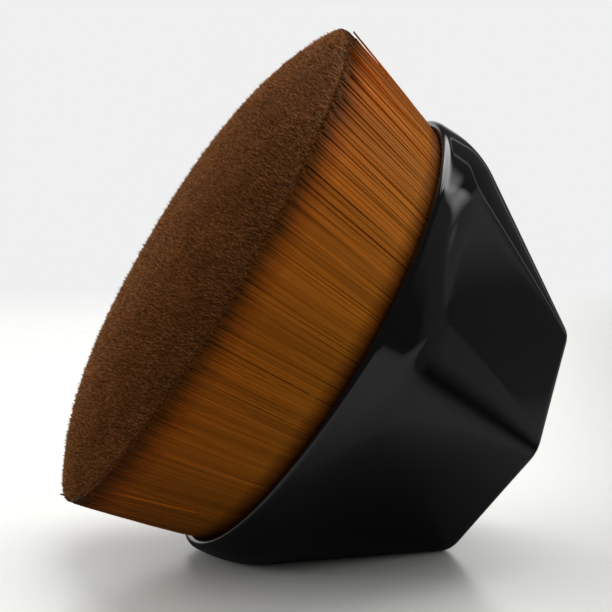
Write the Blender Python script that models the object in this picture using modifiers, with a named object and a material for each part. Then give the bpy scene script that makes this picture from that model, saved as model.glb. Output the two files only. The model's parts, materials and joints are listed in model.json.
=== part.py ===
# Makeup brush: a round, dense head of bristles on a short handle that is six-sided at its end
# and round at its rim. Metres, +Z up.
#
# Every piece is modelled about the brush's own axis: height 0 is the six-sided end and heights
# grow towards the bristles. The empty "brush_axis" carries all of them and lays the brush on one
# flat of its handle, with the middle of that flat at the origin.

import math
import random

import bmesh
import bpy
from mathutils import Matrix, Vector

# Handle, outside
rim_diameter = 0.0420  # the round collar at the bristles
handle_height = 0.0193  # from the end to the rim, along the axis
end_across_flats = 0.0213  # the hexagon at the end
flat_lean = math.radians(31.0)  # each flat leans out from the axis by this much
end_corner_radius = 0.0018  # the rounding between two flats, at the end
rim_corner_radius = 0.0149  # the same at the rim, where the section has grown nearly round
collar_blend = 0.0009  # how softly the flats run into the round collar
end_edge_radius = 0.0006  # rounding of the end's edge

# Handle, inside
wall_thickness = 0.0016
end_wall_thickness = 0.0020
lip_thickness = 0.0010  # the wall at the mouth, rounded over on top
seat_ring_diameter = 0.0164  # the moulded ring that the hair cup stands on
seat_ring_wall = 0.0014
seat_ring_height = 0.0040

# Touching pieces keep this gap
seating_gap = 0.0003

# Hair cup, the resin in it, the glue under it and the thread round the hair's roots
cup_height = 0.0085
cup_wall = 0.0009
cup_floor = 0.0010
resin_depth = 0.0024
root_stub = 0.0004  # hair left below the thread, down to the resin
thread_diameter = 0.0004
thread_pitch = 0.00085
thread_turns = 3

# Bristles
head_diameter = 0.0466  # across the edge of the brushing face
head_edge_height = 0.0105  # from the rim to that edge
dome_rise = 0.0042  # from the edge to the middle of the face
dome_power = 4.0  # 2 is a round dome, more is flatter in the middle
backing_depth_below_rim = 0.0010  # the packed hair ends here and the free strands start
strand_gap = 0.0004  # between neighbouring strands, at their roots
strand_tip_share = 0.96  # a strand's width at its tip, of the room it has there
tip_stagger = 0.0003  # strands end up to this much short of the dome
strands_per_side = 20  # the strands stand in a square grid drawn round: 20 by 20 is 400

# How finely the surfaces are divided
corners = 6
corner_steps = 6
flat_steps = 6
edge_steps = 3
collar_steps = 10
mouth_steps = 5
turned_steps = 48
thread_steps = 24

half_corner = math.pi / corners
rim_radius = rim_diameter / 2
mouth_radius = rim_radius - lip_thickness
lip_radius = lip_thickness / 2
seat_height = end_wall_thickness + seat_ring_height
cup_bottom = seat_height + seating_gap
cup_top = cup_bottom + cup_height
resin_bottom = cup_bottom + cup_floor + seating_gap
resin_top = resin_bottom + resin_depth
hair_bottom = resin_top + seating_gap
groove_bottom = hair_bottom + root_stub
groove_top = groove_bottom + thread_turns * thread_pitch + thread_diameter + 2 * seating_gap
strand_root_height = handle_height - backing_depth_below_rim


def apothem(height):
    # Distance from the axis to a flat, on the outside.
    return end_across_flats / 2 + height * math.tan(flat_lean)


def inner_apothem(height):
    return apothem(height) - wall_thickness / math.cos(flat_lean)


def corner_radius(height):
    grown = (rim_corner_radius - end_corner_radius) * height / handle_height
    return end_corner_radius + grown


def inner_corner_radius(height):
    least_share = 0.25
    radius = corner_radius(height)
    return max(radius - wall_thickness, radius * least_share)


def smooth_min(first, second, blend):
    reach = max(blend - abs(first - second), 0.0) / blend
    return min(first, second) - reach * reach * blend / 4


def corner_reach(flat_distance, radius):
    # How far a rounded corner of the hexagon reaches from the axis.
    return (flat_distance - radius) / math.cos(half_corner) + radius


def blend_start(flat_distance_at, radius_at, limit):
    # The height where the corners begin to run into the round collar. Both sizes grow evenly
    # with height, so the corners do too.
    low = corner_reach(flat_distance_at(0.0), radius_at(0.0))
    high = corner_reach(flat_distance_at(handle_height), radius_at(handle_height))
    return (limit - collar_blend - low) / (high - low) * handle_height


def hexagon_section(flat_distance, radius):
    # A hexagon with rounded corners: an arc at each corner, then the flat after it.
    centre = (flat_distance - radius) / math.cos(half_corner)
    points = []
    for corner in range(corners):
        middle = 2 * half_corner * corner
        arc = []
        for side in (middle, middle + 2 * half_corner):
            hub = Vector((math.cos(side), math.sin(side))) * centre
            for step in range(corner_steps + 1):
                angle = side - half_corner + 2 * half_corner * step / corner_steps
                arc.append(hub + Vector((math.cos(angle), math.sin(angle))) * radius)
        points += arc[:corner_steps + 1]
        start, end = arc[corner_steps], arc[corner_steps + 1]
        points += [start.lerp(end, step / flat_steps) for step in range(1, flat_steps)]
    return points


def ring(height, flat_distance, radius, limit, inset=0.0):
    # One section of the handle: the hexagon, held inside a circle of radius limit.
    placed = []
    for point in hexagon_section(flat_distance, radius):
        reach = smooth_min(point.length, limit, collar_blend) - inset
        point = point.normalized() * reach
        placed.append((point.x, point.y, height))
    return placed


def outer_ring(height, inset=0.0):
    return ring(height, apothem(height), corner_radius(height), rim_radius, inset)


def inner_ring(height, inset=0.0):
    return ring(height, inner_apothem(height), inner_corner_radius(height), mouth_radius, inset)


def round_ring(height, radius, like):
    # A circle with its points at the angles of another ring's points.
    placed = []
    for x, y, _ in like:
        point = Vector((x, y)).normalized() * radius
        placed.append((point.x, point.y, height))
    return placed


def evenly(first, last, steps):
    return [first + (last - first) * step / steps for step in range(steps + 1)]


def material(name, colour, roughness, metallic=0.0):
    made = bpy.data.materials.new(name)
    made.use_nodes = True
    shader = made.node_tree.nodes["Principled BSDF"]
    shader.inputs["Base Color"].default_value = (*colour, 1.0)
    shader.inputs["Roughness"].default_value = roughness
    shader.inputs["Metallic"].default_value = metallic
    return made


def finish(part, parent, collection, surface, smooth_angle=math.radians(32.0)):
    # Puts one piece in the collection, on its carrier and in its material, and shades it.
    for old in list(part.users_collection):
        old.objects.unlink(part)
    collection.objects.link(part)
    part.parent = parent
    part.data.materials.append(surface)
    if part.type == "MESH":
        part.data.shade_smooth()
        part.data.set_sharp_from_angle(angle=smooth_angle)
    return part


def lofted(name, rings):
    # A skin from ring to ring, closed by a face at the first and at the last.
    mesh = bmesh.new()
    rows = [[mesh.verts.new(point) for point in points] for points in rings]
    for low, high in zip(rows, rows[1:]):
        for left in range(len(low)):
            right = (left + 1) % len(low)
            mesh.faces.new((low[left], low[right], high[right], high[left]))
    mesh.faces.new(rows[0][::-1])
    mesh.faces.new(rows[-1])
    bmesh.ops.recalc_face_normals(mesh, faces=mesh.faces)
    data = bpy.data.meshes.new(name)
    mesh.to_mesh(data)
    mesh.free()
    return bpy.data.objects.new(name, data)


def turned(name, profile, steps=turned_steps):
    # A profile from axis to axis, which runs down its outer side, spun about the axis.
    data = bpy.data.meshes.new(name)
    points = [(radius, 0.0, height) for radius, height in profile]
    data.from_pydata(points, [(end - 1, end) for end in range(1, len(points))], [])
    part = bpy.data.objects.new(name, data)
    screw = part.modifiers.new("Turned", "SCREW")
    screw.axis = "Z"
    screw.steps = steps
    screw.render_steps = steps
    screw.use_merge_vertices = True
    screw.merge_threshold = 0.00001
    return part


def make_handle_shell():
    rings = []
    for step in range(edge_steps):
        turn = math.pi / 2 * step / edge_steps
        height = end_edge_radius * (1 - math.cos(turn))
        rings.append(outer_ring(height, end_edge_radius * (1 - math.sin(turn))))
    rings.append(outer_ring(end_edge_radius))

    lip_bottom = handle_height - lip_radius
    collar_start = blend_start(apothem, corner_radius, rim_radius)
    rings += [outer_ring(height) for height in evenly(collar_start, lip_bottom, collar_steps)]

    # Over the lip in half a turn: up its outer side, then down its inner side
    over = [math.pi / 2 * step / edge_steps for step in range(1, edge_steps + 1)]
    for turn in over:
        height = lip_bottom + lip_radius * math.sin(turn)
        rings.append(outer_ring(height, lip_radius * (1 - math.cos(turn))))
    for turn in over[-2::-1]:
        height = lip_bottom + lip_radius * math.sin(turn)
        rings.append(inner_ring(height, lip_radius * (math.cos(turn) - 1)))

    mouth_start = blend_start(inner_apothem, inner_corner_radius, mouth_radius)
    rings += [inner_ring(height) for height in evenly(lip_bottom, mouth_start, mouth_steps)]
    rings.append(inner_ring(end_wall_thickness))

    # The seat ring stands on the floor inside
    seat_radius = seat_ring_diameter / 2
    for height, radius in (
        (end_wall_thickness, seat_radius),
        (seat_height, seat_radius),
        (seat_height, seat_radius - seat_ring_wall),
        (end_wall_thickness, seat_radius - seat_ring_wall),
    ):
        rings.append(round_ring(height, radius, rings[-1]))
    return lofted("handle_shell", rings)


def inner_reach(height):
    # The inside at its narrowest: the middles of the flats, then the round mouth above them.
    return smooth_min(inner_apothem(height), mouth_radius, collar_blend)


def cup_radius(height):
    # An even taper that nests against the inside of the handle at the cup's foot and at its lip.
    foot, lip = inner_reach(cup_bottom), inner_reach(cup_top)
    wall = foot + (lip - foot) * (height - cup_bottom) / cup_height
    return wall - seating_gap / math.cos(flat_lean)


def cup_bore(height):
    return cup_radius(height) - cup_wall / math.cos(flat_lean)


def in_cup(height):
    # What stands in the cup keeps the seating gap to its wall.
    return cup_bore(height) - seating_gap / math.cos(flat_lean)


def make_hair_cup():
    floor_top = cup_bottom + cup_floor
    return turned("hair_cup", (
        (0.0, floor_top),
        (cup_bore(floor_top), floor_top),
        (cup_bore(cup_top), cup_top),
        (cup_radius(cup_top), cup_top),
        (cup_radius(cup_bottom), cup_bottom),
        (0.0, cup_bottom),
    ))


def make_glue_pad():
    radius = seat_ring_diameter / 2 - seat_ring_wall - seating_gap
    bottom = end_wall_thickness + seating_gap
    return turned("glue_pad", (
        (0.0, seat_height),
        (radius, seat_height),
        (radius, bottom),
        (0.0, bottom),
    ))


def make_root_resin():
    return turned("root_resin", (
        (0.0, resin_top),
        (in_cup(resin_top), resin_top),
        (in_cup(resin_bottom), resin_bottom),
        (0.0, resin_bottom),
    ))


def bound_radius():
    # The hair under the thread, squeezed so that the thread clears the cup.
    return in_cup(groove_bottom) - thread_diameter - seating_gap


def make_binding_thread():
    start = groove_bottom + seating_gap + thread_diameter / 2
    radius = bound_radius() + seating_gap + thread_diameter / 2
    count = thread_turns * thread_steps + 1
    points = []
    for index in range(count):
        turn = 2 * math.pi * index / thread_steps
        height = start + thread_pitch * index / thread_steps
        points.append(Vector((radius * math.cos(turn), radius * math.sin(turn), height)))
    apart = [
        (points[index + step] - points[index]).length
        for step in range(thread_steps - 1, thread_steps + 2)
        for index in range(count - step)
    ]
    print("binding_thread: least gap between turns, mm:", (min(apart) - thread_diameter) * 1000)

    curve = bpy.data.curves.new("binding_thread", "CURVE")
    curve.dimensions = "3D"
    curve.bevel_depth = thread_diameter / 2
    curve.bevel_resolution = 1
    curve.use_fill_caps = True
    spline = curve.splines.new("POLY")
    spline.points.add(count - 1)
    for place, point in zip(spline.points, points):
        place.co = (*point, 1.0)
    return bpy.data.objects.new("binding_thread", curve)


def hair_radius(height):
    # Above the cup the packed hair spreads until it fills the handle's mouth.
    return inner_reach(height) - seating_gap / math.cos(flat_lean)


def dome_height(radius_share):
    rise = dome_rise * (1 - min(radius_share, 1.0) ** dome_power)
    return handle_height + head_edge_height + rise


def square_to_disc(x, y):
    # Draws a square of half width 1 round to a disc of radius 1, ring by ring.
    radius = max(abs(x), abs(y))
    if radius == 0:
        return 0.0, 0.0
    if abs(x) >= abs(y):
        angle = math.pi / 4 * y / x
        return radius * math.copysign(math.cos(angle), x), radius * math.copysign(1.0, x) * math.sin(angle)
    angle = math.pi / 4 * x / y
    return radius * math.copysign(1.0, y) * math.sin(angle), radius * math.copysign(math.cos(angle), y)


def make_bristle_head():
    chance = random.Random(7)
    root_radius = hair_radius(strand_root_height)
    mesh = bmesh.new()
    bmesh.ops.create_grid(mesh, x_segments=strands_per_side, y_segments=strands_per_side, size=1.0)
    for vert in mesh.verts:
        x, y = square_to_disc(vert.co.x, vert.co.y)
        vert.co = (x * root_radius, y * root_radius, strand_root_height)
    cells = list(mesh.faces)
    edge = [border for border in mesh.edges if border.is_boundary]

    # The packed hair below the strands: down to the cup's lip, in over it, down the cup, round
    # the groove that the thread draws in, and down to the resin
    over_lip = cup_top + seating_gap
    levels = (
        (over_lip, hair_radius(over_lip)),
        (over_lip, in_cup(cup_top)),
        (groove_top, in_cup(groove_top)),
        (groove_top, bound_radius()),
        (groove_bottom, bound_radius()),
        (groove_bottom, in_cup(groove_bottom)),
        (hair_bottom, in_cup(hair_bottom)),
    )
    for height, radius in levels:
        grown = bmesh.ops.extrude_edge_only(mesh, edges=edge)["geom"]
        for vert in (item for item in grown if isinstance(item, bmesh.types.BMVert)):
            flat = Vector((vert.co.x, vert.co.y)).normalized() * radius
            vert.co = (flat.x, flat.y, height)
        edge = [item for item in grown if isinstance(item, bmesh.types.BMEdge) and item.is_boundary]
    bmesh.ops.contextual_create(mesh, geom=edge)

    # One strand from each cell, leaning out so that the whole head fans to its edge
    bmesh.ops.inset_individual(mesh, faces=cells, thickness=strand_gap / 2)
    raised = bmesh.ops.extrude_discrete_faces(mesh, faces=cells)["faces"]
    spread = head_diameter / 2 / root_radius
    for face in raised:
        root = face.calc_center_median()
        tip = Vector((root.x * spread, root.y * spread, 0.0))
        drop = tip_stagger * chance.random()
        for vert in face.verts:
            aside = (vert.co - root) * strand_tip_share * spread
            place = tip + aside
            reach = Vector((place.x, place.y)).length / (head_diameter / 2)
            vert.co = (place.x, place.y, dome_height(reach) - drop)
    bmesh.ops.recalc_face_normals(mesh, faces=mesh.faces)
    data = bpy.data.meshes.new("bristle_head")
    mesh.to_mesh(data)
    mesh.free()
    return bpy.data.objects.new("bristle_head", data)


def lying_pose():
    # The front corner of the end faces -Y, the axis leans up towards -X, and the flat below it
    # lies on the ground with its middle at the origin.
    turn = Matrix.Rotation(flat_lean - math.pi / 2, 4, "Y") @ Matrix.Rotation(-math.pi / 2, 4, "Z")
    rest_height = blend_start(apothem, corner_radius, rim_radius) / 2
    middle = Vector((0.0, -apothem(rest_height), rest_height))
    return Matrix.Translation(-(turn @ middle)) @ turn


for old in list(bpy.data.objects):
    bpy.data.objects.remove(old, do_unlink=True)

brush = bpy.data.collections.new("makeup_brush")
bpy.context.scene.collection.children.link(brush)
axis = bpy.data.objects.new("brush_axis", None)
axis.empty_display_size = rim_radius
axis.matrix_world = lying_pose()
brush.objects.link(axis)

gloss_black = material("gloss_black_abs", (0.009, 0.009, 0.010), 0.12)
aluminium = material("drawn_aluminium", (0.72, 0.72, 0.73), 0.35, 1.0)
epoxy = material("amber_epoxy", (0.52, 0.33, 0.12), 0.25)
hot_glue = material("clear_glue", (0.70, 0.68, 0.60), 0.40)
cotton = material("waxed_cotton", (0.62, 0.56, 0.45), 0.85)
fibre = material("brown_fibre", (0.155, 0.062, 0.014), 0.55)

finish(make_handle_shell(), axis, brush, gloss_black)
finish(make_hair_cup(), axis, brush, aluminium)
finish(make_glue_pad(), axis, brush, hot_glue)
finish(make_root_resin(), axis, brush, epoxy)
finish(make_binding_thread(), axis, brush, cotton)
finish(make_bristle_head(), axis, brush, fibre)
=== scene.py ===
import json
import math
import random

import bmesh
import bpy
from mathutils import Matrix, Quaternion, Vector, noise


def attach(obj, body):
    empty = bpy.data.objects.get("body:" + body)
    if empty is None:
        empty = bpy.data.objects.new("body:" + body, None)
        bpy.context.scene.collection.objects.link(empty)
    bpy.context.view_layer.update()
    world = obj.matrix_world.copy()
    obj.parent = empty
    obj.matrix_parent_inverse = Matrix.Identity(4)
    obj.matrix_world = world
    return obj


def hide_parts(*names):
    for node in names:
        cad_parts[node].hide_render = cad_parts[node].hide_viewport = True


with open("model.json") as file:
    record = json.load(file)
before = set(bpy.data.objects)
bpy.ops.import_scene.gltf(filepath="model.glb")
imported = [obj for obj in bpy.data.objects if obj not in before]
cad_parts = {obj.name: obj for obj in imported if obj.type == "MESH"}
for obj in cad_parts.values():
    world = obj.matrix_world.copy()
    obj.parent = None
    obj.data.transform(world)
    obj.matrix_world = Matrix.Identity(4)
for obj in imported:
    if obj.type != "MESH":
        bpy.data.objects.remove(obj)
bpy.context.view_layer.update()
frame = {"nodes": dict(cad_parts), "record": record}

mm = 0.001
body = "root"
creaseAngle = math.radians(40.0)  # edges sharper than this stay crisp
endMount = next(mount for mount in frame["record"]["mounts"] if mount["name"] == "hexagonal_end")
brushUp = -Vector(endMount["axis"])
brushFront = Vector((0.0, -1.0, 0.0))  # the corner of the end that faces the camera
brushPose = Matrix((brushFront, brushUp.cross(brushFront), brushUp)).transposed().to_4x4()
brushPose.translation = Vector(endMount["pos_m"])
print("frame loaded")


def smoothMin(first, second, blend):
    # The smaller of the two, rounded off where they are less than the blend apart
    reach = max(blend - abs(first - second), 0.0) / blend
    return min(first, second) - reach * reach * blend / 4


def mix(first, last, share):
    return first + (last - first) * share


def evenly(first, last, steps):
    return [mix(first, last, step / steps) for step in range(steps + 1)]


def newVerts(made):
    return [item for item in made["geom"] if isinstance(item, bmesh.types.BMVert)]


def newEdges(made):
    return [item for item in made["geom"] if isinstance(item, bmesh.types.BMEdge) and item.is_boundary]


def finishPiece(name, mesh, material):
    # Lays the piece down, keeps its object at the origin and lets it ride
    bmesh.ops.transform(mesh, matrix=brushPose @ Matrix.Scale(mm, 4), verts=mesh.verts)
    data = bpy.data.meshes.new(name)
    mesh.to_mesh(data)
    mesh.free()
    data.materials.append(material)
    data.shade_smooth()
    data.set_sharp_from_angle(angle=creaseAngle)
    piece = bpy.data.objects.new(name, data)
    bpy.context.scene.collection.objects.link(piece)
    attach(piece, body)
    print(f"{name}: {len(data.vertices)} points, {len(data.polygons)} faces")
    return piece


# Materials

def linearColour(hexText):
    # sRGB hex to the linear colour that the shaders take
    linear = []
    for start in (1, 3, 5):
        share = int(hexText[start:start + 2], 16) / 255
        linear.append(share / 12.92 if share <= 0.04045 else ((share + 0.055) / 1.055) ** 2.4)
    return (*linear, 1.0)


def perSize(size):
    # The scale of a pattern whose features are this many millimetres apart
    return 1 / (size * mm)


def addNode(tree, kind, settings=None, values=None, links=None):
    # Inputs go by name or by number, and a node given as a link stands for its first output
    node = tree.nodes.new(kind)
    for name, value in (settings or {}).items():
        setattr(node, name, value)
    for name, value in (values or {}).items():
        node.inputs[name].default_value = value
    for name, source in (links or {}).items():
        output = source.outputs[0] if isinstance(source, bpy.types.Node) else source
        tree.links.new(output, node.inputs[name])
    return node


def fillRamp(ramp, stops):
    # Fills a colour ramp with (place, colour) stops
    while len(ramp.elements) > 1:
        ramp.elements.remove(ramp.elements[-1])
    ramp.elements[0].position, ramp.elements[0].color = stops[0]
    for place, colour in stops[1:]:
        ramp.elements.new(place).color = colour


def startMaterial(name):
    material = bpy.data.materials.new(name)
    material.use_nodes = True
    tree = material.node_tree
    shader = tree.nodes["Principled BSDF"]
    return material, tree, shader


blackPlastic = {
    "body": "#050505",
    "bloom": "#0a0a0a",
    "ior": 1.54,
    "leastRoughness": 0.025,
    "mostRoughness": 0.06,
    "hazeSize": 7.0,  # mm between patches of handling haze
    "hazeDetail": 4.0,
    "hazeRoughness": 0.6,
    "waveSize": 7.0,  # mm, the slow waves that a moulding's skin shrinks into
    "waveDetail": 1.0,
    "waveDepth": 0.006,  # mm
    "dust": "#8c8c88",
    "dustSize": 1.7,  # mm from speck to speck, before most are left out
    "speckRadius": 0.035,  # of that size
    "dustShare": 0.12,
}


def makePolishedAbs():
    # Injection-moulded ABS from a polished tool: a near black body under a clear, hard gloss. The
    # reflections carry the shape, and slow waves of the skin bend them a little.
    look = blackPlastic
    material, tree, shader = startMaterial("polished moulded ABS, black")
    where = addNode(tree, "ShaderNodeTexCoord").outputs["Object"]
    haze = addNode(tree, "ShaderNodeTexNoise", values={
        "Scale": perSize(look["hazeSize"]), "Detail": look["hazeDetail"], "Roughness": look["hazeRoughness"],
    }, links={"Vector": where})
    tint = addNode(tree, "ShaderNodeMix", {"data_type": "RGBA"}, {
        "A": linearColour(look["body"]), "B": linearColour(look["bloom"]),
    }, {"Factor": haze.outputs["Fac"]})
    rough = addNode(tree, "ShaderNodeMapRange", values={
        "To Min": look["leastRoughness"], "To Max": look["mostRoughness"],
    }, links={"Value": haze.outputs["Fac"]})
    cells = addNode(tree, "ShaderNodeTexVoronoi", values={
        "Scale": perSize(look["dustSize"]),
    }, links={"Vector": where})
    near = addNode(tree, "ShaderNodeMath", {"operation": "LESS_THAN"}, {
        1: look["speckRadius"],
    }, {0: cells.outputs["Distance"]})
    chosen = addNode(tree, "ShaderNodeMath", {"operation": "LESS_THAN"}, {
        1: look["dustShare"],
    }, {0: cells.outputs["Color"]})
    speck = addNode(tree, "ShaderNodeMath", {"operation": "MULTIPLY"}, links={0: near, 1: chosen})
    dusty = addNode(tree, "ShaderNodeMix", {"data_type": "RGBA"}, {
        "B": linearColour(look["dust"]),
    }, {"Factor": speck, "A": tint.outputs["Result"]})
    waves = addNode(tree, "ShaderNodeTexNoise", values={
        "Scale": perSize(look["waveSize"]), "Detail": look["waveDetail"],
    }, links={"Vector": where})
    skin = addNode(tree, "ShaderNodeBump", values={
        "Strength": 1.0, "Distance": look["waveDepth"] * mm,
    }, links={"Height": waves.outputs["Fac"]})
    shader.inputs["IOR"].default_value = look["ior"]
    tree.links.new(dusty.outputs["Result"], shader.inputs["Base Color"])
    tree.links.new(rough.outputs["Result"], shader.inputs["Roughness"])
    tree.links.new(skin.outputs["Normal"], shader.inputs["Normal"])
    return material


# Each stop's place is its share of the way from the root to the tip
sideFibre = {
    "alongStops": (
        (0.0, "#1a0d05"),  # painted shadow of the lip, which lightens over the next two stops
        (0.06, "#3a1c09"),
        (0.13, "#8a4c14"),
        (0.22, "#c2741f"),  # amber, where the filament is bare
        (0.80, "#c06d1c"),
        (0.90, "#a85718"),
        (0.96, "#7e4414"),
        (1.0, "#643711"),  # the coffee-dyed ends
    ),
    "darkest": 0.70,
    "lightest": 1.25,
}
faceFibre = {
    "alongStops": (
        (0.90, "#8a5a30"),
        (0.94, "#7c4e28"),
        (0.97, "#804f28"),
        (0.988, "#a36c38"),
        (1.0, "#f2cf9e"),  # painted light: the thin ends drawn pale, as if lit through from behind
    ),
    "darkest": 0.45,
    "lightest": 1.35,
}
filament = {
    "ior": 1.57,
    "roughness": 0.42,
    "specular": 0.3,
    "specularTint": "#d99a4e",  # light comes back out of the filament amber
    "glow": 0.42,  # how much of the light goes through a filament
}


def makeDyedPbt(name, look):
    # PBT filament, drawn fine and tapered by acid, with its tips dyed: silky along its length, amber
    # where light passes through it, and no two quite the same shade.
    material, tree, shader = startMaterial(name)
    along = addNode(tree, "ShaderNodeAttribute", {"attribute_name": "along"}).outputs["Fac"]
    shade = addNode(tree, "ShaderNodeAttribute", {"attribute_name": "shade"}).outputs["Fac"]
    colour = addNode(tree, "ShaderNodeValToRGB", links={"Fac": along})
    fillRamp(colour.color_ramp, [(place, linearColour(shown)) for place, shown in look["alongStops"]])
    level = addNode(tree, "ShaderNodeMapRange", {"clamp": False}, {
        "To Min": look["darkest"], "To Max": look["lightest"],
    }, {"Value": shade})
    shaded = addNode(tree, "ShaderNodeVectorMath", {"operation": "SCALE"}, links={
        "Vector": colour.outputs["Color"], "Scale": level.outputs["Result"],
    })
    tree.links.new(shaded.outputs["Vector"], shader.inputs["Base Color"])
    shader.inputs["IOR"].default_value = filament["ior"]
    shader.inputs["Specular IOR Level"].default_value = filament["specular"]
    shader.inputs["Roughness"].default_value = filament["roughness"]
    shader.inputs["Specular Tint"].default_value = linearColour(filament["specularTint"])
    through = addNode(tree, "ShaderNodeBsdfTranslucent", links={"Color": shaded.outputs["Vector"]})
    blend = addNode(tree, "ShaderNodeMixShader", values={
        "Fac": filament["glow"],
    }, links={1: shader, 2: through})
    tree.links.new(blend.outputs["Shader"], tree.nodes["Material Output"].inputs["Surface"])
    return material


innerMaterials = {
    "hair_cup": {
        "name": "drawn aluminium, satin",  # the fine lines of the draw run along the cup
        "dark": "#a3a5a8", "light": "#cfd0d2", "metallic": 1.0, "size": 0.5, "stretch": 0.96,
        "leastRoughness": 0.26, "mostRoughness": 0.44, "depth": 0.004,
    },
    "glue_pad": {
        "name": "hot-melt glue, cloudy",  # soft and waxy, with slow hollows where it shrank
        "dark": "#b9b39c", "light": "#dcd8c8", "metallic": 0.0, "size": 2.5, "stretch": 0.0,
        "leastRoughness": 0.35, "mostRoughness": 0.55, "depth": 0.08,
    },
    "root_resin": {
        "name": "cast epoxy, amber",  # glassy where it set freely, darker where hair soaked it up
        "dark": "#6d4216", "light": "#bd8233", "metallic": 0.0, "size": 1.6, "stretch": 0.7,
        "leastRoughness": 0.12, "mostRoughness": 0.30, "depth": 0.03,
    },
    "binding_thread": {
        "name": "waxed cotton thread",  # dull, with the small ridges of its plies
        "dark": "#8f7f60", "light": "#c9bb98", "metallic": 0.0, "size": 0.25, "stretch": 0.3,
        "leastRoughness": 0.62, "mostRoughness": 0.85, "depth": 0.05,
    },
}
innerCloud = {"detail": 5.0, "roughness": 0.6}


def makeInner(look):
    # A clouded colour, gloss and relief from one noise, drawn out along the brush by the stretch
    material, tree, shader = startMaterial(look["name"])
    where = addNode(tree, "ShaderNodeTexCoord").outputs["Object"]
    height = addNode(tree, "ShaderNodeVectorMath", {"operation": "DOT_PRODUCT"}, {1: brushUp}, {0: where})
    lift = addNode(tree, "ShaderNodeVectorMath", {"operation": "SCALE"}, {
        0: brushUp * look["stretch"],
    }, {"Scale": height.outputs["Value"]})
    drawn = addNode(tree, "ShaderNodeVectorMath", {"operation": "SUBTRACT"}, links={0: where, 1: lift})
    cloud = addNode(tree, "ShaderNodeTexNoise", values={
        "Scale": perSize(look["size"]), "Detail": innerCloud["detail"], "Roughness": innerCloud["roughness"],
    }, links={"Vector": drawn})
    tint = addNode(tree, "ShaderNodeMix", {"data_type": "RGBA"}, {
        "A": linearColour(look["dark"]), "B": linearColour(look["light"]),
    }, {"Factor": cloud.outputs["Fac"]})
    rough = addNode(tree, "ShaderNodeMapRange", values={
        "To Min": look["leastRoughness"], "To Max": look["mostRoughness"],
    }, links={"Value": cloud.outputs["Fac"]})
    relief = addNode(tree, "ShaderNodeBump", values={
        "Strength": 1.0, "Distance": look["depth"] * mm,
    }, links={"Height": cloud.outputs["Fac"]})
    shader.inputs["Metallic"].default_value = look["metallic"]
    tree.links.new(tint.outputs["Result"], shader.inputs["Base Color"])
    tree.links.new(rough.outputs["Result"], shader.inputs["Roughness"])
    tree.links.new(relief.outputs["Normal"], shader.inputs["Normal"])
    return material


for node, look in innerMaterials.items():
    slots = frame["nodes"][node].data.materials
    slots.clear()
    slots.append(makeInner(look))
polishedAbs = makePolishedAbs()
sidePbt = makeDyedPbt("drawn PBT filament, amber", sideFibre)
facePbt = makeDyedPbt("PBT filament tips, dyed coffee", faceFibre)
print("materials made")


# Handle

handle = {
    "rimDiameter": 42.0,
    "height": 19.3,
    "endAcrossFlats": 21.3,
    "flatLean": 31.0,  # degrees from the axis
    "endCornerRadius": 1.8,
    "rimCornerRadius": 14.9,
    "collarBlend": 0.9,
    "endEdgeRadius": 0.6,
    "endBorder": 0.9,  # mm from the end's outline in to the first ring of points
    "wall": 1.6,
    "leastInsideCorner": 0.25,  # of the corner outside it
    "endWall": 2.0,
    "lip": 1.0,
    "cornerSteps": 18,
    "flatSteps": 12,
    "edgeSteps": 6,
    "wallSteps": 64,
    "insideSteps": 12,
}
corners = 6
halfCorner = math.pi / corners
rimRadius = handle["rimDiameter"] / 2
mouthRadius = rimRadius - handle["lip"]


def outsideApothem(height):
    return handle["endAcrossFlats"] / 2 + height * math.tan(math.radians(handle["flatLean"]))


def outsideCorner(height):
    return mix(handle["endCornerRadius"], handle["rimCornerRadius"], height / handle["height"])


def insideApothem(height):
    return outsideApothem(height) - handle["wall"] / math.cos(math.radians(handle["flatLean"]))


def insideCorner(height):
    radius = outsideCorner(height)
    return max(radius - handle["wall"], radius * handle["leastInsideCorner"])


def hexagonSection(apothem, radius):
    # A hexagon with rounded corners: each corner's arc, then the flat after it
    centre = (apothem - radius) / math.cos(halfCorner)
    points = []
    for corner in range(corners):
        middle = 2 * halfCorner * corner
        hub = Vector((math.cos(middle), math.sin(middle))) * centre
        nextMiddle = middle + 2 * halfCorner
        nextHub = Vector((math.cos(nextMiddle), math.sin(nextMiddle))) * centre
        arc = []
        for angle in evenly(-halfCorner, halfCorner, handle["cornerSteps"]):
            arc.append(hub + Vector((math.cos(middle + angle), math.sin(middle + angle))) * radius)
        square = middle + halfCorner  # the way that the flat faces
        flatEnd = nextHub + Vector((math.cos(square), math.sin(square))) * radius
        points += arc
        points += [arc[-1].lerp(flatEnd, share) for share in evenly(0.0, 1.0, handle["flatSteps"])[1:-1]]
    return points


def handleRing(height, apothem, corner, limit, inset):
    ring = []
    for point in hexagonSection(apothem, corner):
        reach = smoothMin(point.length, limit, handle["collarBlend"]) - inset
        point = point.normalized() * reach
        ring.append(Vector((point.x, point.y, height)))
    return ring


def outsideRing(height, inset=0.0):
    return handleRing(height, outsideApothem(height), outsideCorner(height), rimRadius, inset)


def insideRing(height, inset=0.0):
    return handleRing(height, insideApothem(height), insideCorner(height), mouthRadius, inset)


def skinRings(mesh, rings):
    # Grows a skin from ring to ring. The point layer tells each new point its place in its ring.
    place = mesh.verts.layers.int.new("place")
    first = bmesh.ops.create_circle(mesh, segments=len(rings[0]), radius=1.0)["verts"]
    for index, vert in enumerate(first):
        vert[place] = index
        vert.co = rings[0][index]
    edges = list(mesh.edges)
    bmesh.ops.contextual_create(mesh, geom=edges)
    for ring in rings[1:]:
        grown = bmesh.ops.extrude_edge_only(mesh, edges=edges)
        for vert in newVerts(grown):
            vert.co = ring[vert[place]]
        edges = newEdges(grown)
    bmesh.ops.contextual_create(mesh, geom=edges)
    bmesh.ops.recalc_face_normals(mesh, faces=mesh.faces)


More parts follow.
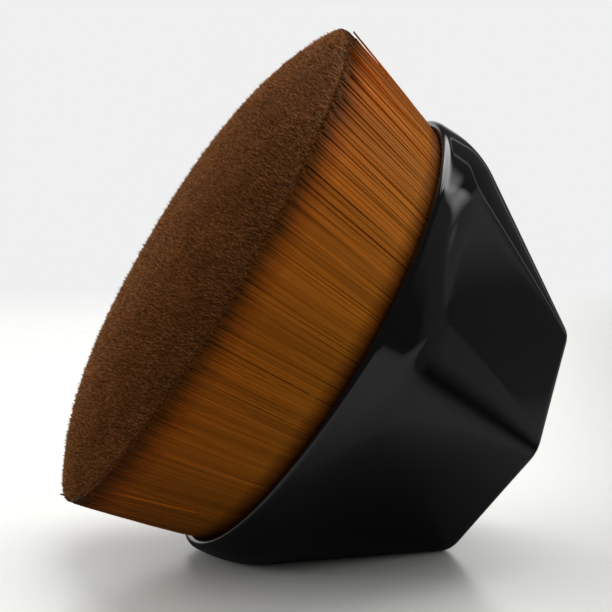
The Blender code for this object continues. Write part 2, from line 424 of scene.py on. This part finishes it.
def makeHandle():
    # Up the outside from the closed end, over the rounded lip and down the inside
    edge, lipRadius, steps = handle["endEdgeRadius"], handle["lip"] / 2, handle["edgeSteps"]
    lipBottom = handle["height"] - lipRadius
    rings = [outsideRing(0.0, handle["endBorder"])]
    for turn in evenly(0.0, math.pi / 2, steps):
        rings.append(outsideRing(edge * (1 - math.cos(turn)), edge * (1 - math.sin(turn))))
    rings += [outsideRing(height) for height in evenly(edge, lipBottom, handle["wallSteps"])[1:]]
    for turn in evenly(0.0, math.pi / 2, steps)[1:]:
        rings.append(outsideRing(lipBottom + lipRadius * math.sin(turn), lipRadius * (1 - math.cos(turn))))
    for turn in evenly(math.pi / 2, 0.0, steps)[1:]:
        rings.append(insideRing(lipBottom + lipRadius * math.sin(turn), lipRadius * (math.cos(turn) - 1)))
    heights = evenly(lipBottom, handle["endWall"], handle["insideSteps"])
    rings += [insideRing(height) for height in heights[1:]]
    mesh = bmesh.new()
    skinRings(mesh, rings)
    return mesh


handlePiece = finishPiece("handle_gloss", makeHandle(), polishedAbs)
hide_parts("handle_shell")


# Bristles

bristles = {
    "rootRadius": 19.55,  # mm, of the outermost fibres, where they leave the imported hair
    "rootHeight": 18.2,
    "edgeRadius": 22.8,
    "edgeHeight": 30.35,
    "domeRise": 3.85,
    "domePower": 3.3,  # 2 is a round dome, more is flatter in the middle
    "offset": 0.42,  # mm, how far the tips stand towards the brush's upper side
    "slant": -0.006,  # how steeply the face's cut rises towards that side
    "rootSheetPaintedShade": 0.3,  # painted shade: the sheet that the fibres grow from is kept darker, as it lies deep between them; 0 is darkest and 1 lightest
    "mostShade": 1.3,
}
sides = {
    "parts": 3,
    "around": 1290,
    "layers": 6,
    "depth": 1.1,  # mm, how wide the ring of roots is
    "gap": 0.02,  # mm between two roots
    "levels": (0.07, 0.22, 0.45, 0.7, 0.88, 1.0),  # shares of a fibre's length
    "widthShares": (1.5, 1.7, 1.8, 1.9, 1.9, 1.5),  # of its width at the root, at each level
    "clumpRates": (7, 0.9),  # how fast clumps change, in each radian round the brush and mm across the ring
    "tuftRates": (30, 2.0),  # the same of the finer tufts in them
    "tuftShare": 0.5,  # of the clumps' pull
    "clump": 0.13,  # mm, how far clumps draw fibres together
    "wander": 0.09,  # mm, how far a tip strays sideways from its root's place
    "wanderOut": 0.03,
    "uneven": 0.25,  # mm, how unevenly the fibres are cut
    "bow": 0.25,  # mm
    "bowSpread": 0.03,
    "bowAside": 0.05,
    "below": 0.15,  # mm, how far under the face's edge the fibres end
    "tuck": 2.5,  # mm lower, for each mm that a fibre stands under the face
    "shade": 0.5,
    "clumpShade": 0.35,
    "tuftShade": 0.40,
    "ownShade": 0.15,
    "strayShare": 0.012,
    "strayReach": 0.7,  # mm
    "strayShortest": 0.6,  # mm below the others
    "strayTallest": 0.75,  # mm above them
    "strayWidth": 0.45,
    "strayPaintedLight": 0.3,  # painted light: how much lighter the strays are, as if lit through from behind
    "sheet": 0.5,  # mm, how thick the sheet is that they grow from
    "firstSeed": 5,
}
face = {
    "across": 300,
    "depth": 0.6,  # mm from the tips down to the sheet that they stand on, and the sheet's own thickness
    "margin": 0.12,  # mm from the outermost side fibres
    "jitter": 0.4,  # of the room that a tip has
    "jitterRadius": 0.995,  # of the face's radius, past which nothing moves
    "seam": 0.001,  # how close to the line between the halves counts as on it
    "lowAlong": 0.9,  # how far up its fibre a tip starts
    "lean": 0.10,  # mm
    "shortest": 0.25,  # mm below its neighbours
    "tallShare": 0.12,
    "tallest": 0.28,  # mm above them
    "shade": 0.5,
    "patches": 0.35,  # how often the shade changes in a mm
    "patchShade": 0.25,
    "ownShade": 0.28,
    "paleShare": 0.0015,
    "paleShade": 2.2,
    "frontSeed": 3,
    "backSeed": 4,
}
core = {
    "inset": 0.495,  # mm, how far it stays inside the outermost side fibres
    "below": 0.3,  # mm under the face's sheet
    "bottomRadius": 15.5,
    "bottomHeight": 12.0,
    "neckHeight": 17.2,
    "around": 96,
    "sideSteps": 8,
    "topSteps": 10,
    "shade": 0.45,
}


def domeHeight(radius):
    share = min(radius / bristles["edgeRadius"], 1.0)
    return bristles["edgeHeight"] + bristles["domeRise"] * (1 - share ** bristles["domePower"])


def cutHeight(flat):
    return domeHeight(flat.length) + flat.y * bristles["slant"]


def fanShare(depth):
    # How much narrower the head is this far below its tips
    spread = 1 - bristles["rootRadius"] / bristles["edgeRadius"]
    return 1 - spread * depth / (bristles["edgeHeight"] - bristles["rootHeight"])


def squareToDisc(x, y):
    # Draws a square of half width 1 smoothly round to a disc of radius 1
    return Vector((x * math.sqrt(1 - y * y / 2), y * math.sqrt(1 - x * x / 2)))


def startHair():
    # The point layers tell the material how far up a fibre it is and how light the fibre is, with painted
    # shade on the sheet between the fibres
    mesh = bmesh.new()
    along = mesh.verts.layers.float.new("along")
    shade = mesh.verts.layers.float.new("shade")
    return mesh, along, shade


def makeFace(side, seed):
    # Half of the brushing face: a field of fine pointed tips on one closed sheet
    chance = random.Random(seed)
    mesh, along, shade = startHair()
    across, jitter = face["across"], face["jitter"]
    bmesh.ops.create_grid(mesh, x_segments=across // 2, y_segments=across, size=1.0)
    reach = bristles["edgeRadius"] - face["margin"]
    cell = 2 * reach / across
    for vert in mesh.verts:
        flat = squareToDisc((vert.co.x + side) / 2, vert.co.y)
        # The edge stays round, and the two halves stay joined
        loose = flat.length < face["jitterRadius"] and abs(vert.co.x + side) > face["seam"]
        shift = Vector((chance.uniform(-jitter, jitter), chance.uniform(-jitter, jitter))) * cell * loose
        top = flat * reach + shift
        low = top * fanShare(face["depth"])
        # Painted shade on the sheet deep between the tips
        vert[shade] = bristles["rootSheetPaintedShade"]
        vert[along] = face["lowAlong"]
        vert.co = (low.x, low.y + bristles["offset"], cutHeight(top) - face["depth"])
    edge = [item for item in mesh.edges if item.is_boundary]
    peaks = bmesh.ops.poke(mesh, faces=list(mesh.faces))["verts"]
    for vert in peaks:
        flat = Vector((vert.co.x, vert.co.y - bristles["offset"])) / fanShare(face["depth"])
        lean = Vector((chance.gauss(0.0, face["lean"]), chance.gauss(0.0, face["lean"])))
        patch = noise.noise(Vector((flat.x, flat.y, 0.0)) * face["patches"])
        flat += lean
        vert[along] = 1.0
        level = face["shade"] + face["patchShade"] * patch + chance.gauss(0.0, face["ownShade"])
        vert[shade] = min(max(level, 0.0), bristles["mostShade"])
        if chance.random() < face["paleShare"]:
            vert[shade] = face["paleShade"]
        height = cutHeight(flat) - face["shortest"] * chance.random() ** 2
        if chance.random() < face["tallShare"]:
            height += face["tallest"] * chance.random()
        vert.co = (flat.x, flat.y + bristles["offset"], height)
    grown = bmesh.ops.extrude_edge_only(mesh, edges=edge)
    narrower = fanShare(2 * face["depth"]) / fanShare(face["depth"])
    for vert in newVerts(grown):
        vert.co.x *= narrower
        vert.co.y = (vert.co.y - bristles["offset"]) * narrower + bristles["offset"]
        vert.co.z -= face["depth"]
    bmesh.ops.contextual_create(mesh, geom=newEdges(grown))
    bmesh.ops.recalc_face_normals(mesh, faces=mesh.faces)
    return mesh


def clumpNoise(flat, rates):
    angle = math.atan2(flat.y, flat.x)
    around, across = rates
    return noise.noise(Vector((math.cos(angle) * around, math.sin(angle) * around, flat.length * across)))


def fibreFor(cell, chance):
    # Works out the course of the fibre that stands on one cell of the root ring
    root = cell.calc_center_median()
    flat = Vector((root.x, root.y))
    out = flat.normalized()
    aside = Vector((-out.y, out.x))
    clump = clumpNoise(flat, sides["clumpRates"])
    tuft = clumpNoise(flat, sides["tuftRates"])
    spread = bristles["edgeRadius"] / bristles["rootRadius"]
    tip = flat * spread + aside * (clump + tuft * sides["tuftShare"]) * sides["clump"]
    tip += aside * chance.gauss(0.0, sides["wander"]) + out * chance.gauss(0.0, sides["wanderOut"])
    under = max(bristles["edgeRadius"] - face["margin"] - tip.length, 0.0)
    height = cutHeight(tip) - abs(chance.gauss(0.0, sides["uneven"])) - sides["below"]
    height -= min(under * sides["tuck"], face["depth"])
    bow = out * chance.gauss(sides["bow"], sides["bowSpread"]) + aside * chance.gauss(0.0, sides["bowAside"])
    level = sides["shade"] + sides["clumpShade"] * clump + sides["tuftShade"] * tuft
    level += chance.gauss(0.0, sides["ownShade"])
    thin = 1.0
    if chance.random() < sides["strayShare"]:
        tip += aside * chance.gauss(0.0, sides["strayReach"]) + out * chance.random() * sides["strayReach"]
        height += chance.uniform(-sides["strayShortest"], sides["strayTallest"])
        # Painted light on a stray, as if lit through from behind
        level += sides["strayPaintedLight"]
        thin = sides["strayWidth"]
    tip.y += bristles["offset"]
    return {
        "root": flat, "tip": tip, "height": height, "bow": bow,
        "shade": min(max(level, 0.0), bristles["mostShade"]),
        "offsets": [(Vector((vert.co.x, vert.co.y)) - flat) * thin for vert in cell.verts],
    }


def makeSides(part, seed):
    # A share of the ring of long fibres: four-sided filaments, narrower at their ends, on one closed sheet
    chance = random.Random(seed)
    mesh, along, shade = startHair()
    number = mesh.faces.layers.int.new("fibre")
    around = sides["around"] // sides["parts"]
    bmesh.ops.create_grid(mesh, x_segments=around, y_segments=sides["layers"], size=1.0)
    inner = bristles["rootRadius"] - sides["depth"]
    for vert in mesh.verts:
        angle = math.pi / sides["parts"] * (vert.co.x + 1 + 2 * part)
        radius = mix(inner, bristles["rootRadius"], (vert.co.y + 1) / 2)
        vert.co = (radius * math.cos(angle), radius * math.sin(angle), bristles["rootHeight"])
        # Painted shade on the sheet deep between the roots
        vert[shade] = bristles["rootSheetPaintedShade"]
    raised = list(mesh.faces)
    edge = [item for item in mesh.edges if item.is_boundary]
    bmesh.ops.inset_individual(mesh, faces=raised, thickness=sides["gap"] / 2)
    fibres = []
    for index, cell in enumerate(raised):
        cell[number] = index
        fibres.append(fibreFor(cell, chance))
        for vert in cell.verts:
            vert[shade] = fibres[-1]["shade"]
    for share, width in zip(sides["levels"], sides["widthShares"]):
        raised = bmesh.ops.extrude_discrete_faces(mesh, faces=raised)["faces"]
        for cell in raised:
            fibre = fibres[cell[number]]
            middle = fibre["root"].lerp(fibre["tip"], share)
            middle += fibre["bow"] * math.sin(math.pi * math.sqrt(share))
            height = mix(bristles["rootHeight"], fibre["height"], share)
            for vert, offset in zip(cell.verts, fibre["offsets"]):
                place = middle + offset * width
                vert.co = (place.x, place.y, height)
                vert[along] = share
                vert[shade] = fibre["shade"]
    grown = bmesh.ops.extrude_edge_only(mesh, edges=edge)
    for vert in newVerts(grown):
        vert.co.z -= sides["sheet"]
    bmesh.ops.contextual_create(mesh, geom=newEdges(grown))
    bmesh.ops.recalc_face_normals(mesh, faces=mesh.faces)
    return mesh


def makeCore():
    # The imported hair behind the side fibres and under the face
    mesh, along, shade = startHair()
    inner = bristles["rootRadius"] - core["inset"]
    outer = bristles["edgeRadius"] - core["inset"]
    under = face["depth"] + core["below"]
    top = domeHeight(outer) - under
    # Each ring's share of the fibres' length, height and radius
    rings = [(0.0, core["bottomHeight"], core["bottomRadius"]), (0.0, core["neckHeight"], inner)]
    for share in evenly(0.0, 1.0, core["sideSteps"]):
        rings.append((share, mix(bristles["rootHeight"], top, share), mix(inner, outer, share)))
    for share in evenly(1.0, 0.0, core["topSteps"])[1:-1]:
        rings.append((1.0, domeHeight(outer * share) - under, outer * share))
    bmesh.ops.create_circle(mesh, segments=core["around"], radius=core["bottomRadius"])
    for vert in mesh.verts:
        vert.co.z = core["bottomHeight"]
    edges = list(mesh.edges)
    bmesh.ops.contextual_create(mesh, geom=edges)
    for share, height, radius in rings[1:]:
        grown = bmesh.ops.extrude_edge_only(mesh, edges=edges)
        for vert in newVerts(grown):
            flat = vert.co.to_2d().normalized() * radius
            vert.co = (flat.x, flat.y, height)
            vert[along] = share
            vert[shade] = core["shade"]
        edges = newEdges(grown)
    bmesh.ops.contextual_create(mesh, geom=edges)
    bmesh.ops.recalc_face_normals(mesh, faces=mesh.faces)
    return mesh


bristlePieces = [
    finishPiece("bristle_face_front", makeFace(1, face["frontSeed"]), facePbt),
    finishPiece("bristle_face_back", makeFace(-1, face["backSeed"]), facePbt),
    finishPiece("bristle_core", makeCore(), sidePbt),
]
for part in range(sides["parts"]):
    fibres = makeSides(part, sides["firstSeed"] + part)
    bristlePieces.append(finishPiece(f"bristle_sides_{part + 1}", fibres, sidePbt))
for piece in bristlePieces:
    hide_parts("bristle_head")


# Floor, light and camera

studio = {
    "paper": "#c0c0bc",
    "paperRoughness": 0.22,
    "backdrop": "#eff0ef",
    "floorSize": 2.4,  # m
    "floorSides": 64,
    "floorDrop": 0.02,  # mm below the brush
    "fadeStart": 0.12,  # m
    "fadeEnd": 0.6,
    "paperShadedInFill": 0.227,  # painted shade: dull surfaces see a darker copy of the card, so that it bounces less light onto them
    "fill": 0.90,  # soft light from all round
    "roomInGloss": 0.06,  # what the flags leave of the room to the handle's gloss
    "tableInGloss": 0.07,
    "horizonBlur": 1.0,  # degrees
}
# The handle's gloss sees a darker, painted copy of the card: the white card's end beside the brush, and a
# dark table past it
card = {
    "right": 30.0,  # mm
    # The front edge, where x and y in mm, times the first two, and the last number add up to 0
    "front": (0.54, 0.84, 49.9),
    "rounding": 100.0,  # mm
    "from": -20.0,  # mm from the edge
    "to": 80.0,
    "stops": (
        (-20, 0.26), (-9, 0.22), (-5, 0.16), (-3, 0.11), (-1, 0.06), (1, 0.03), (4, 0.015), (7, 0.025),
        (16, 0.065), (24, 0.09), (35, 0.10), (60, 0.10), (80, 0.09),
    ),
    "fadeNear": -28.0,  # mm, where the dark band past the edge starts to fade towards the front
    "fadeFar": -60.0,
    "faded": 0.075,
    # Painted shadow under the brush, in the card that the gloss sees: how much light is left on the card
    # this many mm from the brush
    "paintedShadowStops": (
        (12, 0.25), (15, 0.29), (18, 0.42), (21, 0.50), (24, 0.70), (37, 0.78), (55, 0.85),
    ),
    "paintedShadowMiddle": -2.0,  # mm
    "paintedShadowStretch": 1.35,
}
# Each soft light's middle, reach to the sides, lowest and highest edge and blurs, all in degrees, and
# how strongly the handle's gloss sees it. inFill is how many times that strength reaches dull surfaces.
softLights = {
    "topBox": {
        "azimuth": 36, "halfWidth": 54, "sideBlur": 5,
        "lowest": 44, "highest": 80, "blur": 5, "strength": 3.4, "inFill": 1.8,
    },
    "topBoxTail": {
        "azimuth": 88, "halfWidth": 5, "sideBlur": 5,
        "lowest": 27, "highest": 43, "blur": 7, "strength": 1.7, "inFill": 0.6,
    },
    "glint": {
        "azimuth": 93, "halfWidth": 2, "sideBlur": 2,
        "lowest": 15, "highest": 19, "blur": 2, "strength": 0.25, "inFill": 0.6,
    },
    "backWall": {
        "azimuth": -16, "halfWidth": 40, "sideBlur": 5,
        "lowest": -12, "highest": 24, "blur": 6, "strength": 0.85, "inFill": 4.0,
    },
    "backLeft": {
        "azimuth": -68, "halfWidth": 24, "sideBlur": 14,
        "lowest": 4, "highest": 40, "blur": 14, "strength": 0.05, "inFill": 70,
    },
    "rightWall": {
        "azimuth": 84, "halfWidth": 13, "sideBlur": 7,
        "lowest": 4.2, "highest": 26, "blur": 1.6, "strength": 0.14, "inFill": 0.6,
    },
    "frontRight": {
        "azimuth": 118, "halfWidth": 21, "sideBlur": 12,
        "lowest": -10, "highest": 60, "blur": 12, "strength": 0.11, "inFill": 0.6,
    },
}
# A thin ring of light, its place and size in degrees
hoop = {"azimuth": 52, "elevation": 19, "radius": 16, "width": 1.0, "strength": 0.35}


def towards(azimuth, elevation):
    # Azimuth 0 looks straight back from the camera's side, 90 to the right
    turn, rise = math.radians(azimuth), math.radians(elevation)
    return (math.sin(turn) * math.cos(rise), math.cos(turn) * math.cos(rise), math.sin(rise))


def makeWhiteCard():
    # Coated card, calendered smooth: pale, with a soft sheen that grows at a low angle. It fades out
    # far away, so that it runs into the wall with no edge.
    material, tree, shader = startMaterial("smooth white card")
    where = addNode(tree, "ShaderNodeTexCoord").outputs["Object"]
    axes = addNode(tree, "ShaderNodeSeparateXYZ", links={0: where}).outputs
    away = addNode(tree, "ShaderNodeVectorMath", {"operation": "LENGTH"}, links={0: where})
    fade = addNode(tree, "ShaderNodeMapRange", {"interpolation_type": "SMOOTHSTEP"}, {
        "From Min": studio["fadeStart"], "From Max": studio["fadeEnd"],
    }, {"Value": away.outputs["Value"]})

    # What the gloss sees, a darker painted copy of the card: its end, past it the table, and a painted
    # shadow under the brush
    right = addNode(tree, "ShaderNodeMath", {"operation": "SUBTRACT"}, {
        1: card["right"] * mm,
    }, {0: axes["X"]})
    slanted = addNode(tree, "ShaderNodeVectorMath", {"operation": "DOT_PRODUCT"}, {
        1: (*card["front"][:2], 0.0),
    }, {0: where})
    front = addNode(tree, "ShaderNodeMath", {"operation": "ADD"}, {
        1: card["front"][2] * mm,
    }, {0: slanted.outputs["Value"]})
    edge = addNode(tree, "ShaderNodeMath", {"operation": "SMOOTH_MIN"}, {
        2: card["rounding"] * mm,
    }, {0: right, 1: front})
    place = addNode(tree, "ShaderNodeMapRange", values={
        "From Min": card["from"] * mm, "From Max": card["to"] * mm,
    }, links={"Value": edge})
    dimmed = addNode(tree, "ShaderNodeValToRGB", links={"Fac": place})
    length = card["to"] - card["from"]
    fillRamp(dimmed.color_ramp, [
        ((at - card["from"]) / length, (level, level, level, 1.0)) for at, level in card["stops"]
    ])
    least = addNode(tree, "ShaderNodeMapRange", {"interpolation_type": "SMOOTHSTEP"}, {
        "From Min": card["fadeFar"] * mm, "From Max": card["fadeNear"] * mm,
        "To Min": card["faded"], "To Max": 0.0,
    }, {"Value": axes["Y"]})
    unshaded = addNode(tree, "ShaderNodeMath", {"operation": "MAXIMUM"}, links={0: dimmed, 1: least})
    # Painted shadow under the brush, for the gloss only
    flat = addNode(tree, "ShaderNodeVectorMath", {"operation": "MULTIPLY_ADD"}, {
        1: (1 / card["paintedShadowStretch"], 1.0, 0.0),
        2: (-card["paintedShadowMiddle"] * mm / card["paintedShadowStretch"], 0.0, 0.0),
    }, {0: where})
    near = addNode(tree, "ShaderNodeVectorMath", {"operation": "LENGTH"}, links={0: flat})
    farthest = card["paintedShadowStops"][-1][0]
    nearness = addNode(tree, "ShaderNodeMapRange", values={
        "From Max": farthest * mm,
    }, links={"Value": near.outputs["Value"]})
    paintedShadow = addNode(tree, "ShaderNodeValToRGB", links={"Fac": nearness})
    fillRamp(paintedShadow.color_ramp, [
        (at / farthest, (share, share, share, 1.0)) for at, share in card["paintedShadowStops"]
    ])
    level = addNode(tree, "ShaderNodeMath", {"operation": "MULTIPLY"}, links={0: unshaded, 1: paintedShadow})
    inGloss = addNode(tree, "ShaderNodeBsdfDiffuse", links={"Color": level})

    # Painted shade: dull surfaces see a darker copy of the card than the camera does
    rays = addNode(tree, "ShaderNodeLightPath").outputs
    paper = linearColour(studio["paper"])
    paperShadedInFill = (*[part * studio["paperShadedInFill"] for part in paper[:3]], 1.0)
    seen = addNode(tree, "ShaderNodeMix", {"data_type": "RGBA"}, {
        "A": paperShadedInFill, "B": paper,
    }, {"Factor": rays["Is Camera Ray"]})
    tree.links.new(seen.outputs["Result"], shader.inputs["Base Color"])
    shader.inputs["Roughness"].default_value = studio["paperRoughness"]
    flagged = addNode(tree, "ShaderNodeMixShader", links={
        "Fac": rays["Is Glossy Ray"], 1: shader, 2: inGloss,
    })
    clear = addNode(tree, "ShaderNodeBsdfTransparent")
    both = addNode(tree, "ShaderNodeMixShader", links={"Fac": fade, 1: flagged, 2: clear})
    tree.links.new(both.outputs["Shader"], tree.nodes["Material Output"].inputs["Surface"])
    return material


def makeFloor():
    mesh = bmesh.new()
    radius = studio["floorSize"] / 2
    bmesh.ops.create_circle(mesh, cap_ends=True, segments=studio["floorSides"], radius=radius)
    bmesh.ops.translate(mesh, vec=(0.0, 0.0, -studio["floorDrop"] * mm), verts=mesh.verts)
    data = bpy.data.meshes.new("floor")
    mesh.to_mesh(data)
    mesh.free()
    data.materials.append(makeWhiteCard())
    floor = bpy.data.objects.new("floor", data)
    bpy.context.scene.collection.objects.link(floor)


def makeWorld():
    # A room with a lit wall behind the brush and a long soft box above that. The camera itself sees
    # the plain pale wall all round.
    world = bpy.data.worlds.new("studio")
    bpy.context.scene.world = world
    world.use_nodes = True
    tree = world.node_tree
    sky = tree.nodes["Background"]
    smooth = {"interpolation_type": "SMOOTHSTEP"}
    times, plus = {"operation": "MULTIPLY"}, {"operation": "ADD"}
    way = addNode(tree, "ShaderNodeTexCoord").outputs["Generated"]
    rays = addNode(tree, "ShaderNodeLightPath").outputs
    rise = addNode(tree, "ShaderNodeSeparateXYZ", links={0: way}).outputs["Z"]
    level = addNode(tree, "ShaderNodeVectorMath", times, {1: (1.0, 1.0, 0.0)}, {0: way})
    heading = addNode(tree, "ShaderNodeVectorMath", {"operation": "NORMALIZE"}, links={0: level})

    horizonBlur = math.sin(math.radians(studio["horizonBlur"]))
    room = addNode(tree, "ShaderNodeMapRange", smooth, {
        "From Min": -horizonBlur, "From Max": horizonBlur,
        "To Min": studio["tableInGloss"], "To Max": studio["roomInGloss"],
    }, {"Value": rise})
    glow = addNode(tree, "ShaderNodeMix", values={"A": studio["fill"]}, links={
        "Factor": rays["Is Glossy Ray"], "B": room,
    })
    for light in softLights.values():
        wide, blur, sideBlur = light["halfWidth"], light["blur"], light["sideBlur"]
        facing = addNode(tree, "ShaderNodeVectorMath", {"operation": "DOT_PRODUCT"}, {
            1: towards(light["azimuth"], 0),
        }, {0: heading})
        shown = addNode(tree, "ShaderNodeMapRange", smooth, {
            "From Min": math.cos(math.radians(wide + sideBlur)),
            "From Max": math.cos(math.radians(wide - sideBlur)), "To Max": light["strength"],
        }, {"Value": facing.outputs["Value"]})
        for edge, outward in ((light["lowest"], -blur), (light["highest"], blur)):
            within = addNode(tree, "ShaderNodeMapRange", smooth, {
                "From Min": math.sin(math.radians(edge + outward)),
                "From Max": math.sin(math.radians(edge - outward)),
            }, {"Value": rise})
            shown = addNode(tree, "ShaderNodeMath", times, links={0: shown, 1: within})
        share = addNode(tree, "ShaderNodeMapRange", values={
            "To Min": light["inFill"], "To Max": 1.0,
        }, links={"Value": rays["Is Glossy Ray"]})
        lit = addNode(tree, "ShaderNodeMath", times, links={0: shown, 1: share})
        glow = addNode(tree, "ShaderNodeMath", plus, links={0: glow, 1: lit})

    facing = addNode(tree, "ShaderNodeVectorMath", {"operation": "DOT_PRODUCT"}, {
        1: towards(hoop["azimuth"], hoop["elevation"]),
    }, {0: way}).outputs["Value"]
    outer, middle, inner = [
        math.cos(math.radians(hoop["radius"] + part * hoop["width"])) for part in (1, 0, -1)
    ]
    outerSide = addNode(tree, "ShaderNodeMapRange", smooth, {
        "From Min": outer, "From Max": middle, "To Max": hoop["strength"],
    }, {"Value": facing})
    innerSide = addNode(tree, "ShaderNodeMapRange", smooth, {
        "From Min": inner, "From Max": middle,
    }, {"Value": facing})
    lit = addNode(tree, "ShaderNodeMath", times, links={0: outerSide, 1: innerSide})
    glow = addNode(tree, "ShaderNodeMath", plus, links={0: glow, 1: lit})

    sky.inputs["Color"].default_value = linearColour("#ffffff")
    tree.links.new(glow.outputs["Value"], sky.inputs["Strength"])
    plain = addNode(tree, "ShaderNodeBackground", values={"Color": linearColour(studio["backdrop"])})
    both = addNode(tree, "ShaderNodeMixShader", links={"Fac": rays["Is Camera Ray"], 1: sky, 2: plain})
    tree.links.new(both.outputs["Shader"], tree.nodes["World Output"].inputs["Surface"])


camera = {
    "aim": (-2.861, 0.446, 20.906),  # mm
    "azimuth": -13.109,  # degrees; 0 looks along +Y
    "elevation": 3.042,
    "roll": -0.860,
    "distance": 121.84,  # mm
    "lens": 82.353,
    "sensorWidth": 36.0,
    "nearest": 10.0,  # mm
}


def makeCamera():
    data = bpy.data.cameras.new("camera")
    data.lens = camera["lens"]
    data.sensor_width = camera["sensorWidth"]
    data.clip_start = camera["nearest"] * mm
    made = bpy.data.objects.new("camera", data)
    bpy.context.scene.collection.objects.link(made)
    turn, rise = math.radians(camera["azimuth"]), math.radians(camera["elevation"])
    back = Vector((math.sin(turn) * math.cos(rise), -math.cos(turn) * math.cos(rise), math.sin(rise)))
    made.location = (Vector(camera["aim"]) + back * camera["distance"]) * mm
    made.rotation_mode = "QUATERNION"
    upright = (-back).to_track_quat("-Z", "Y")
    made.rotation_quaternion = upright @ Quaternion((0.0, 0.0, 1.0), math.radians(camera["roll"]))
    bpy.context.scene.camera = made


makeFloor()
makeWorld()
makeCamera()
bpy.context.scene.view_settings.view_transform = "Standard"
print("floor, light and camera made")
